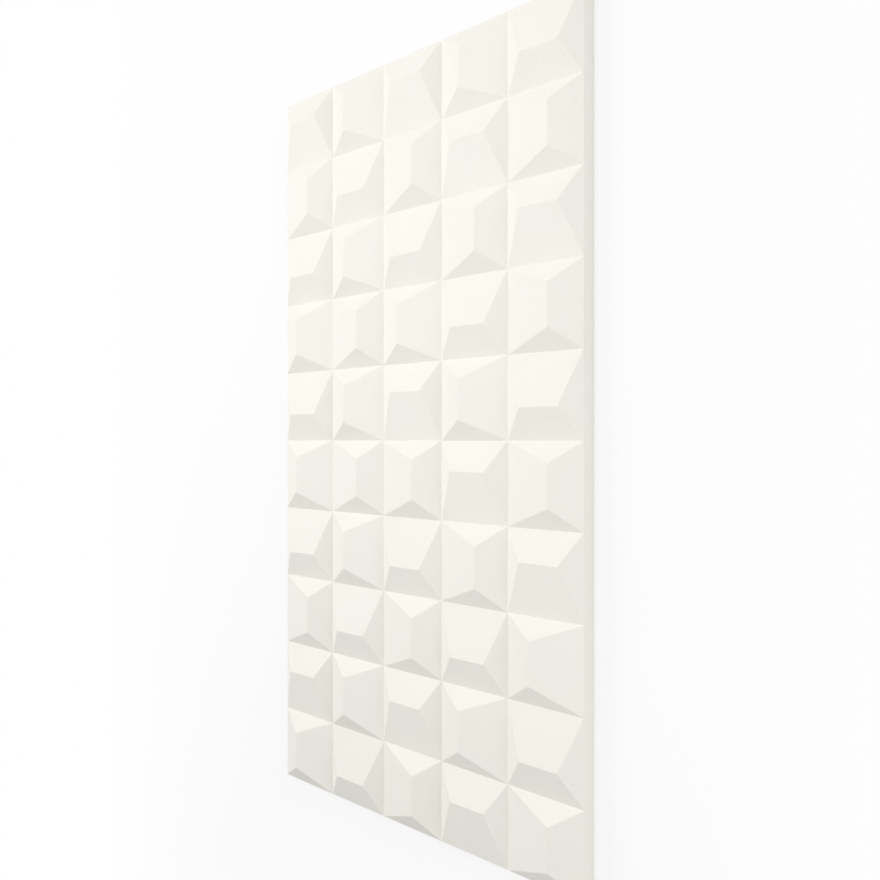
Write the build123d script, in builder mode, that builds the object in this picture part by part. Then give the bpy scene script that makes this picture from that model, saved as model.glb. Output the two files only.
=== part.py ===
"""Moulded wall panel: one flat-backed slab whose face is a grid of hipped square blocks.

Every block has the same hipped roof shape. Its ridge stands nearer one side of its square, and
each block is turned so that this side is to the left, to the right, up or down the panel.
The panel lies on its back: X across it, Y up it as it hangs, Z out of its face.
"""

import os

from build123d import *

# Driving dimensions in millimetres
block_side = 100.0  # side of a square block, which is the pitch of the grid
ridge_length = 50.0  # ridge of a block, centred on its length
ridge_setback = 37.5  # from the nearer side of a block to its ridge, across the block
relief_height = 15.0  # height of the ridges above the valleys
slab_thickness = 23.0  # from the back to the valleys, which is the height of the edges

# The face of the panel, top row first. Each letter is the side of its block that the ridge
# stands nearer: left, right, up or down.
block_layout = [
    "ULULD",
    "RDRUR",
    "DLDRU",
    "LRLDR",
    "DLULD",
    "LRRUR",
    "DLDRU",
    "RDRDL",
    "ULULD",
    "LDRUR",
]
# The way across a block, from the side that its ridge stands nearer to the far side
way_across = {"L": Axis.X, "R": -Axis.X, "D": Axis.Y, "U": -Axis.Y}

# Sizes that follow from those
half_block = block_side / 2
half_ridge = ridge_length / 2
row_count = len(block_layout)
column_count = len(block_layout[0])
panel_width = column_count * block_side
panel_length = row_count * block_side

# One block with its ridge along Y, X leading across it from the nearer side. A gable runs the whole
# length of the square, and the trapezium seen from the side cuts its two ends down to hips.
with BuildPart() as block:
    with BuildSketch(Plane.XZ):
        with BuildLine():
            Polyline(
                (-half_block, 0),
                (half_block, 0),
                (ridge_setback - half_block, relief_height),
                close=True,
            )
        make_face()
    extrude(amount=half_block, both=True)
    with BuildSketch(Plane.YZ):
        with BuildLine():
            Polyline(
                (-half_block, 0),
                (half_block, 0),
                (half_ridge, relief_height),
                (-half_ridge, relief_height),
                close=True,
            )
        make_face()
    extrude(amount=half_block, both=True, mode=Mode.INTERSECT)


def block_places():
    """The seat of each block on the slab, row by row from the top left, turned as laid out."""
    left_x = half_block - panel_width / 2
    top_y = panel_length / 2 - half_block
    for row, letters in enumerate(block_layout):
        for column, letter in enumerate(letters):
            seat = (left_x + column * block_side, top_y - row * block_side, slab_thickness)
            yield Plane(seat, x_dir=way_across[letter].direction)


# The slab with its blocks, moulded as one piece. The blocks' squares cover the slab's face, so
# neighbouring slopes meet in valleys and the outer slopes end at the panel's edges.
with BuildPart() as wall_panel:
    with BuildSketch():
        Rectangle(panel_width, panel_length)
    extrude(amount=slab_thickness)
    with Locations(*block_places()):
        add(block.part)
wall_panel.part.label = "wall_panel"

os.makedirs("parts", exist_ok=True)
export_step(wall_panel.part, "parts/wall_panel.step")
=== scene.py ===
import math

import bmesh
import bpy
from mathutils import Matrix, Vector


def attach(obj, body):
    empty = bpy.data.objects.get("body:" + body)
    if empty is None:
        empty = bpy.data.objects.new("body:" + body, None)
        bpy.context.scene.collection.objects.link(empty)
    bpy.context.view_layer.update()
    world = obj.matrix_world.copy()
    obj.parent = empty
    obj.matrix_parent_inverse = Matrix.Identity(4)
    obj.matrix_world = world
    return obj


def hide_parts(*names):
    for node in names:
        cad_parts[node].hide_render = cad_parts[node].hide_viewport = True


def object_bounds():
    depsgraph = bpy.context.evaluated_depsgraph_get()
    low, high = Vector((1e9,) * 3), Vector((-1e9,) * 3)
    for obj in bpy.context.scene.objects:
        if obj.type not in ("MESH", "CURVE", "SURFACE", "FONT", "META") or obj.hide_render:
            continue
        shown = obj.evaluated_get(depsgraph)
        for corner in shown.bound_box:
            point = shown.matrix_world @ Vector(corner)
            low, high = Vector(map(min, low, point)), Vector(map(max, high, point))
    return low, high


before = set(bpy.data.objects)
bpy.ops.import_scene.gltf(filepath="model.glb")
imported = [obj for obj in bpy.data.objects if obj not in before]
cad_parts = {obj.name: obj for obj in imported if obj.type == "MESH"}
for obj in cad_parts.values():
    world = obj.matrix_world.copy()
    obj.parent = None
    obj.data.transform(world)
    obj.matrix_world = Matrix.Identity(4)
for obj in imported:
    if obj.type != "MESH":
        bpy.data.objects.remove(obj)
cad_low, cad_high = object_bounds()
scene = bpy.context.scene

# The panel: one piece of hard polyurethane foam, cast in a closed mould that leaves a small round on
# every outward edge and keeps the valleys sharp. Its face and edges are sprayed with white primer,
# and it is glued to the wall by its flat back, which is left raw.
arris_setback = 0.0006
arris_segments = 3
merge_distance = 1e-5
flat_angle = math.radians(1)
straight_down = Vector((0.0, 0.0, -1.0))
primed_slot, raw_slot = 0, 1
large_face_weight = 100

panel_shape = bmesh.new()
panel_shape.from_mesh(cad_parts["wall_panel"].data)
bmesh.ops.remove_doubles(panel_shape, verts=panel_shape.verts, dist=merge_distance)
bmesh.ops.dissolve_limit(
    panel_shape,
    angle_limit=flat_angle,
    verts=panel_shape.verts,
    edges=panel_shape.edges,
)
bmesh.ops.bevel(
    panel_shape,
    geom=[edge for edge in panel_shape.edges if edge.is_convex],
    offset=arris_setback,
    offset_type="OFFSET",
    affect="EDGES",
    segments=arris_segments,
    profile=0.5,
    material=-1,
    clamp_overlap=True,
)
for edge in panel_shape.edges:
    edge.smooth = edge.calc_face_angle_signed() > -flat_angle
for face in panel_shape.faces:
    face.smooth = True
    is_back = face.normal.angle(straight_down) < flat_angle
    face.material_index = raw_slot if is_back else primed_slot
panel_mesh = bpy.data.meshes.new("moulded_panel")
panel_shape.to_mesh(panel_mesh)
panel_shape.free()
panel = bpy.data.objects.new("moulded_panel", panel_mesh)
scene.collection.objects.link(panel)
flat_facets = panel.modifiers.new("flat_facets", "WEIGHTED_NORMAL")
flat_facets.weight = large_face_weight
flat_facets.keep_sharp = True


def new_material(name):
    """A material with its node tree, its shader and its object coordinates."""
    material = bpy.data.materials.new(name)
    material.use_nodes = True
    tree = material.node_tree
    place = tree.nodes.new("ShaderNodeTexCoord").outputs["Object"]
    return material, tree, tree.nodes["Principled BSDF"], place


def noise(tree, place, size, detail):
    """Soft noise with blotches of about the given size in metres."""
    node = tree.nodes.new("ShaderNodeTexNoise")
    node.inputs["Scale"].default_value = 1 / size
    node.inputs["Detail"].default_value = detail
    tree.links.new(place, node.inputs["Vector"])
    return node.outputs["Fac"]


def ramp(tree, value, start, end, low=0.0, high=1.0):
    """A value that runs from low to high while another runs from start to end."""
    node = tree.nodes.new("ShaderNodeMapRange")
    node.inputs["From Min"].default_value = start
    node.inputs["From Max"].default_value = end
    node.inputs["To Min"].default_value = low
    node.inputs["To Max"].default_value = high
    tree.links.new(value, node.inputs["Value"])
    return node.outputs["Result"]


def mottle(tree, place, size, detail, low=0.0, high=1.0):
    """Noise spread over a whole range, because by itself it seldom leaves its middle values."""
    middle_low, middle_high = 0.3, 0.7
    return ramp(tree, noise(tree, place, size, detail), middle_low, middle_high, low, high)


def blend(tree, share, low_colour, high_colour):
    """A colour between two colours or colour outputs, by a share from 0 to 1."""
    node = tree.nodes.new("ShaderNodeMix")
    node.data_type = "RGBA"
    tree.links.new(share, node.inputs["Factor"])
    for socket, colour in (("A", low_colour), ("B", high_colour)):
        entry = next(s for s in node.inputs if s.name == socket and s.type == "RGBA")
        if isinstance(colour, bpy.types.NodeSocket):
            tree.links.new(colour, entry)
        else:
            entry.default_value = (*colour, 1.0)
    return next(s for s in node.outputs if s.type == "RGBA")


def raise_bump(tree, height, depth, under=None):
    """A bump of the given depth in metres, over another bump if there is one."""
    node = tree.nodes.new("ShaderNodeBump")
    node.inputs["Distance"].default_value = depth
    tree.links.new(height, node.inputs["Height"])
    if under:
        tree.links.new(under, node.inputs["Normal"])
    return node.outputs["Normal"]


# Its primer: a matte warm white that drifts and speckles a little, with a fine peel over slow waves
primer_cool = (0.832, 0.819, 0.765)
primer_warm = (0.846, 0.825, 0.757)
primer_speckle = (0.822, 0.806, 0.746)
drift_size = 0.12
speckle_size = 0.003
sheen_size = 0.02
primer_smoothest, primer_roughest = 0.68, 0.8
primer_gloss = 0.2
wave_size, wave_depth = 0.06, 0.0006
peel_size, peel_depth = 0.0014, 0.00008

primer, tree, shader, place = new_material("white_primer")
coat = blend(tree, mottle(tree, place, drift_size, detail=2), primer_cool, primer_warm)
speckled = blend(tree, mottle(tree, place, speckle_size, detail=3), primer_speckle, coat)
tree.links.new(speckled, shader.inputs["Base Color"])
sheen = mottle(tree, place, sheen_size, detail=3, low=primer_smoothest, high=primer_roughest)
tree.links.new(sheen, shader.inputs["Roughness"])
waves = raise_bump(tree, noise(tree, place, wave_size, detail=1), wave_depth)
peel = raise_bump(tree, noise(tree, place, peel_size, detail=2), peel_depth, under=waves)
tree.links.new(peel, shader.inputs["Normal"])
shader.inputs["Specular IOR Level"].default_value = primer_gloss
panel_mesh.materials.append(primer)


def pits(tree, place, spacing, radius, floor_radius):
    """One on the floors of scattered round pits, less up their sides, and nothing between them."""
    node = tree.nodes.new("ShaderNodeTexVoronoi")
    node.inputs["Scale"].default_value = 1 / spacing
    tree.links.new(place, node.inputs["Vector"])
    return ramp(tree, node.outputs["Distance"], radius / spacing, floor_radius / spacing)


def beyond(tree, place, corner):
    """How far a point lies beyond the panel's four sides, by one of its corners: below zero inside."""
    size = tree.nodes.new("ShaderNodeVectorMath")
    size.operation = "ABSOLUTE"
    tree.links.new(place, size.inputs[0])
    past = tree.nodes.new("ShaderNodeVectorMath")
    past.operation = "SUBTRACT"
    past.inputs[1].default_value = corner
    tree.links.new(size.outputs["Vector"], past.inputs[0])
    axes = tree.nodes.new("ShaderNodeSeparateXYZ")
    tree.links.new(past.outputs["Vector"], axes.inputs["Vector"])
    further = tree.nodes.new("ShaderNodeMath")
    further.operation = "MAXIMUM"
    tree.links.new(axes.outputs["X"], further.inputs[0])
    tree.links.new(axes.outputs["Y"], further.inputs[1])
    return further.outputs["Value"]


# Its raw back: the foam's own buff skin, with flow marks, pinholes darkened by painted shade, and
# stray primer at the rim
skin_pale = (0.81, 0.765, 0.66)
skin_dark = (0.74, 0.68, 0.56)
# A dark brown painted on the pinholes' floors as painted shade
pit_painted_shade = (0.55, 0.48, 0.37)
flow_size = 0.07
pit_spacing, pit_depth = 0.009, 0.0005
pit_radius, pit_floor_radius = 0.0009, 0.00045
stray_reach, stray_size = 0.018, 0.011
cover_start = 0.5
skin_patch_size = 0.03
skin_smoothest, skin_roughest = 0.74, 0.9
skin_gloss = 0.25
ripple_size, ripple_depth = 0.035, 0.0006

raw_skin, tree, shader, place = new_material("raw_foam_skin")
skin = blend(tree, mottle(tree, place, flow_size, detail=5), skin_dark, skin_pale)
pinholes = pits(tree, place, pit_spacing, pit_radius, pit_floor_radius)
# The pinholes' floors are darkened with painted shade
pitted_with_shade = blend(tree, pinholes, skin, pit_painted_shade)
rim = ramp(tree, beyond(tree, place, cad_high), -stray_reach, 0.0)
stray = tree.nodes.new("ShaderNodeMath")
stray.operation = "MULTIPLY_ADD"
stray.use_clamp = True
tree.links.new(mottle(tree, place, stray_size, detail=4), stray.inputs[0])
tree.links.new(rim, stray.inputs[1])
tree.links.new(ramp(tree, rim, cover_start, 1.0), stray.inputs[2])
dusted = blend(tree, stray.outputs["Value"], pitted_with_shade, primer_cool)
tree.links.new(dusted, shader.inputs["Base Color"])
matt = mottle(tree, place, skin_patch_size, detail=4, low=skin_smoothest, high=skin_roughest)
tree.links.new(matt, shader.inputs["Roughness"])
ripples = raise_bump(tree, noise(tree, place, ripple_size, detail=3), ripple_depth)
between_pits = ramp(tree, pinholes, 0.0, 1.0, low=1.0, high=0.0)
sunk = raise_bump(tree, between_pits, pit_depth, under=ripples)
tree.links.new(sunk, shader.inputs["Normal"])
shader.inputs["Specular IOR Level"].default_value = skin_gloss
panel_mesh.materials.append(raw_skin)

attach(panel, "root")
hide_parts("wall_panel")

# The floor that the panel lies on: a plain pale sheet that keeps the panel's shadow close by and
# turns white further off, as the room round it is.
floor_reach = 6.0
floor_grey = 0.85
white_near = 0.74
shadow_reach = 0.02
white_reach = 0.6

floor_shape = bmesh.new()
bmesh.ops.create_grid(floor_shape, x_segments=1, y_segments=1, size=floor_reach)
floor_mesh = bpy.data.meshes.new("floor")
floor_shape.to_mesh(floor_mesh)
floor_shape.free()
floor = bpy.data.objects.new("floor", floor_mesh)
scene.collection.objects.link(floor)


def seen_directly(tree):
    """One for a ray from the camera, a reflection or a clear piece, and nothing for diffuse light."""
    path = tree.nodes.new("ShaderNodeLightPath")
    seen = path.outputs["Is Camera Ray"]
    for ray in ("Is Glossy Ray", "Is Transmission Ray"):
        either = tree.nodes.new("ShaderNodeMath")
        either.operation = "MAXIMUM"
        tree.links.new(seen, either.inputs[0])
        tree.links.new(path.outputs[ray], either.inputs[1])
        seen = either.outputs["Value"]
    return seen


floor_paint, tree, shader, place = new_material("floor_white")
shader.inputs["Base Color"].default_value = (floor_grey, floor_grey, floor_grey, 1.0)
shader.inputs["Roughness"].default_value = 1.0
shader.inputs["Specular IOR Level"].default_value = 0.0
plain_white = tree.nodes.new("ShaderNodeEmission")
whiteness = ramp(tree, beyond(tree, place, cad_high), shadow_reach, white_reach, white_near, 1.0)
white_share = tree.nodes.new("ShaderNodeMath")
white_share.operation = "MULTIPLY"
tree.links.new(seen_directly(tree), white_share.inputs[0])
tree.links.new(whiteness, white_share.inputs[1])
painted_or_white = tree.nodes.new("ShaderNodeMixShader")
tree.links.new(white_share.outputs["Value"], painted_or_white.inputs["Fac"])
tree.links.new(shader.outputs["BSDF"], painted_or_white.inputs[1])
tree.links.new(plain_white.outputs["Emission"], painted_or_white.inputs[2])
tree.links.new(painted_or_white.outputs["Shader"], tree.nodes["Material Output"].inputs["Surface"])
floor_mesh.materials.append(floor_paint)

# The light: a white room all round and a broad soft lamp far off to the left, which the relief takes
# its shading from. A small lamp over the panel's upper half and two weak ones on its right fill in.
room_strength = 0.4145
lamps = {
    "left": {"place": (-3.05, 0.82, 2.46), "aim": (0.0, 0.0, 0.0), "size": 2.4, "watts": 81.8},
    "over_top": {"place": (0.0, 0.4, 1.3), "aim": (0.0, 0.2, 0.0), "size": 0.6, "watts": 5.3},
    "right": {"place": (2.77, 1.6, 1.16), "aim": (0.0, 0.0, 0.0), "size": 2.04, "watts": 33.0},
    "camera_side": {"place": (0.9, -0.52, 0.38), "aim": (0.0, 0.0, 0.0), "size": 0.66, "watts": 1.4},
}

world = bpy.data.worlds.new("white_room")
world.use_nodes = True
tree = world.node_tree
room = tree.nodes["Background"]
room.inputs["Color"].default_value = (1.0, 1.0, 1.0, 1.0)
room.inputs["Strength"].default_value = room_strength
backdrop = tree.nodes.new("ShaderNodeBackground")
backdrop.inputs["Color"].default_value = (1.0, 1.0, 1.0, 1.0)
room_or_backdrop = tree.nodes.new("ShaderNodeMixShader")
tree.links.new(seen_directly(tree), room_or_backdrop.inputs["Fac"])
tree.links.new(room.outputs["Background"], room_or_backdrop.inputs[1])
tree.links.new(backdrop.outputs["Background"], room_or_backdrop.inputs[2])
tree.links.new(room_or_backdrop.outputs["Shader"], tree.nodes["World Output"].inputs["Surface"])
scene.world = world

for name, lamp in lamps.items():
    light = bpy.data.lights.new(name, "AREA")
    light.size = lamp["size"]
    light.energy = lamp["watts"]
    holder = bpy.data.objects.new(name, light)
    scene.collection.objects.link(holder)
    holder.location = lamp["place"]
    towards = Vector(lamp["aim"]) - Vector(lamp["place"])
    holder.rotation_euler = towards.to_track_quat("-Z", "Y").to_euler()

# The camera: above the panel and out past its right edge, looking down on it at the photograph's
# angle, with the panel's length upright in the picture.
lens_length = 31.28
camera_place = (0.6588, 0.0007, 0.7574)
camera_lean = math.radians(39.78)

camera_data = bpy.data.cameras.new("camera")
camera_data.lens = lens_length
camera = bpy.data.objects.new("camera", camera_data)
scene.collection.objects.link(camera)
camera.location = camera_place
camera.rotation_euler = (0.0, camera_lean, 0.0)
scene.camera = camera

scene.view_settings.view_transform = "Standard"
